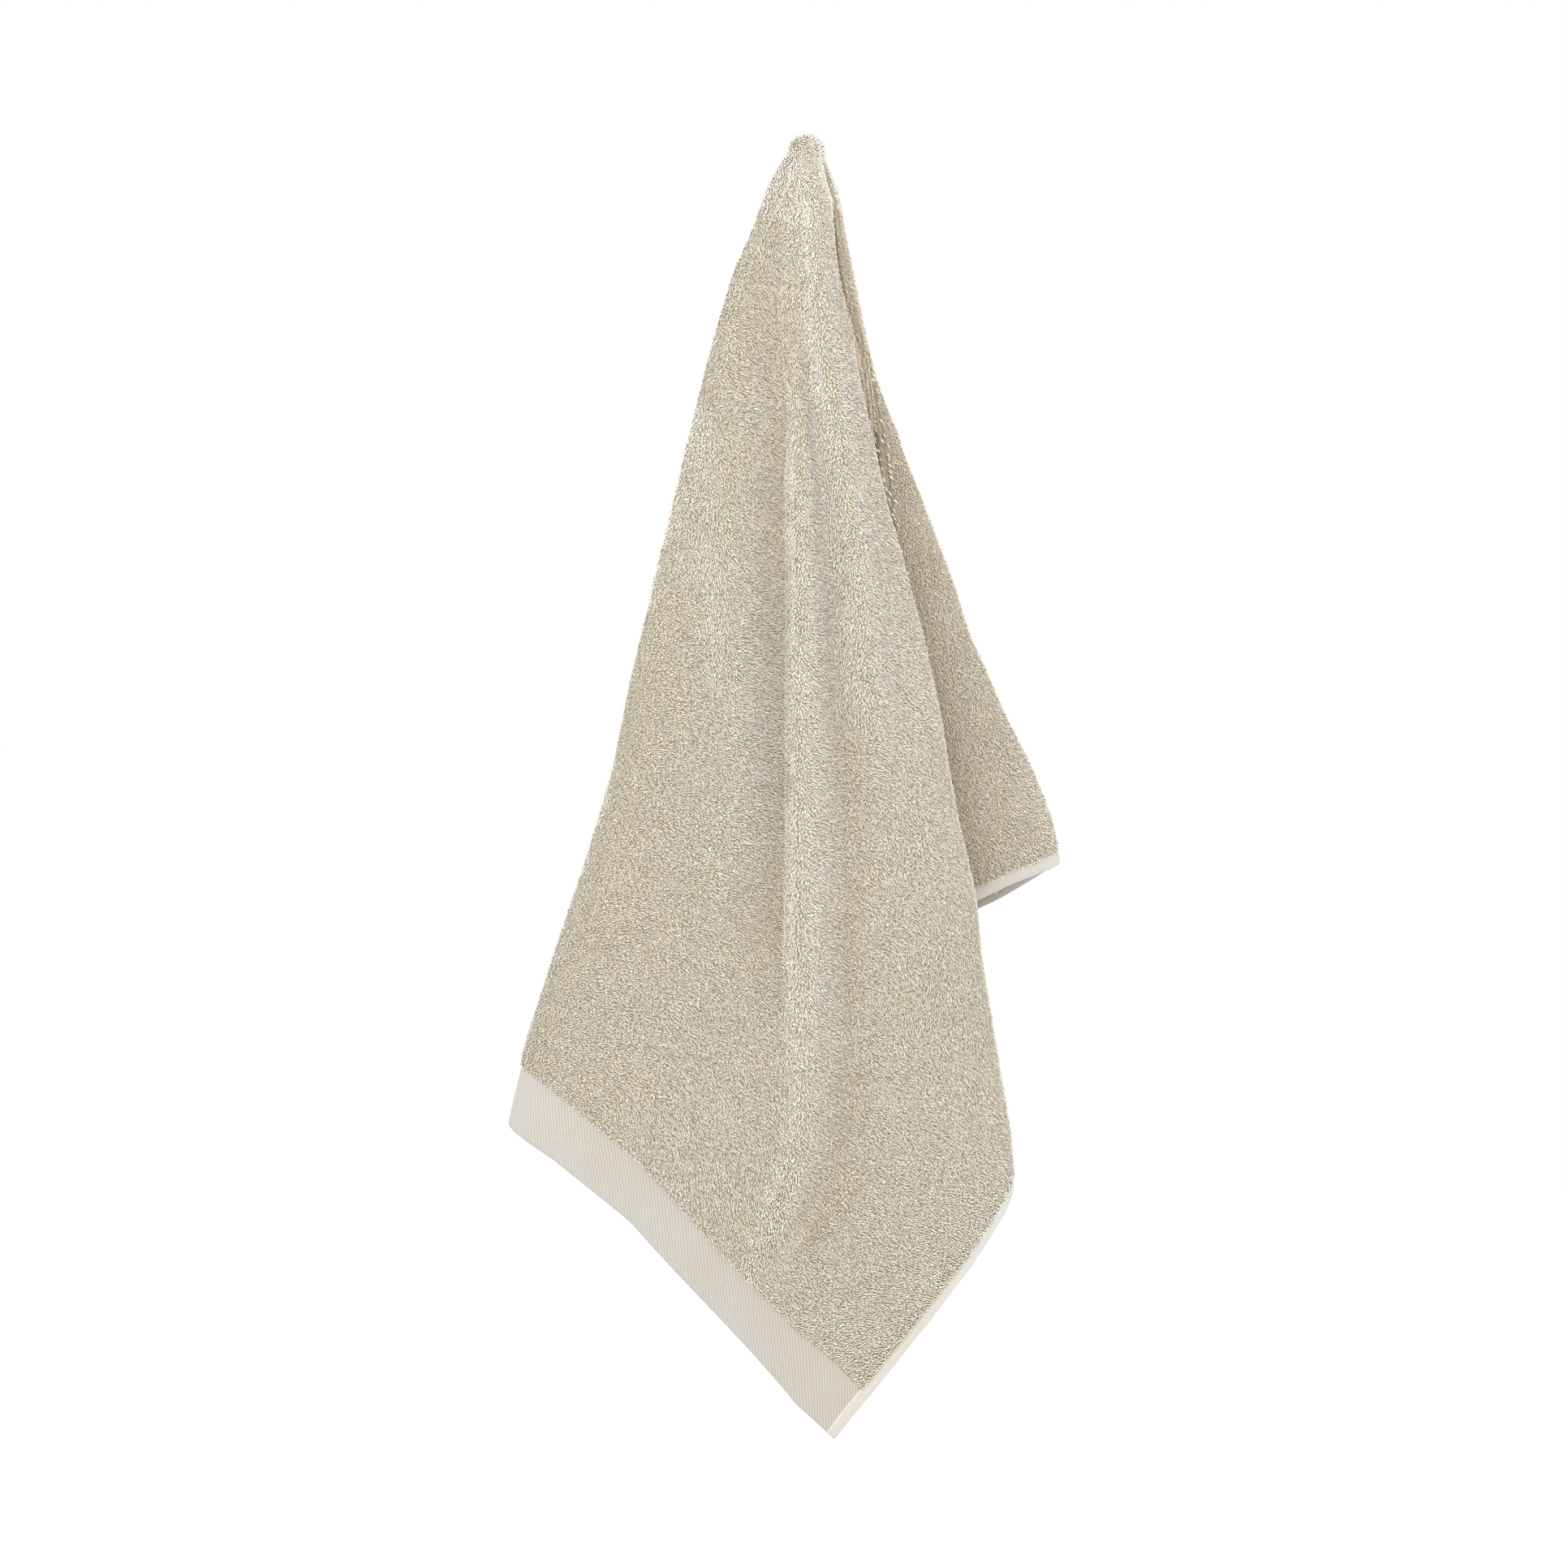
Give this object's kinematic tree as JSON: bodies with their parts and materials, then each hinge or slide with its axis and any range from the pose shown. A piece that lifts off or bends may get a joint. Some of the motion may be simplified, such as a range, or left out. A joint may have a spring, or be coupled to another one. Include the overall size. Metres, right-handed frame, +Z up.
{
  "type": "hand towel",
  "caption": "Sand-coloured cotton terry hand towel hanging from one point in soft uneven folds, with a ribbed woven border and narrow woven hems.",
  "frame": {"origin": "the hang point, in the middle of the cloth's thickness on top of the crown", "axes": "+Z up, +X to the right seen from the front, and the broad front panel faces -Y"},
  "size_m": [0.3044, 0.1815, 0.7182],
  "materials": {
    "terry": "matt looped cotton pile with a flat-woven border and hems in a paler ivory"
  },
  "bodies": {
    "root": {"towel": "terry"}
  },
  "joints": []
}
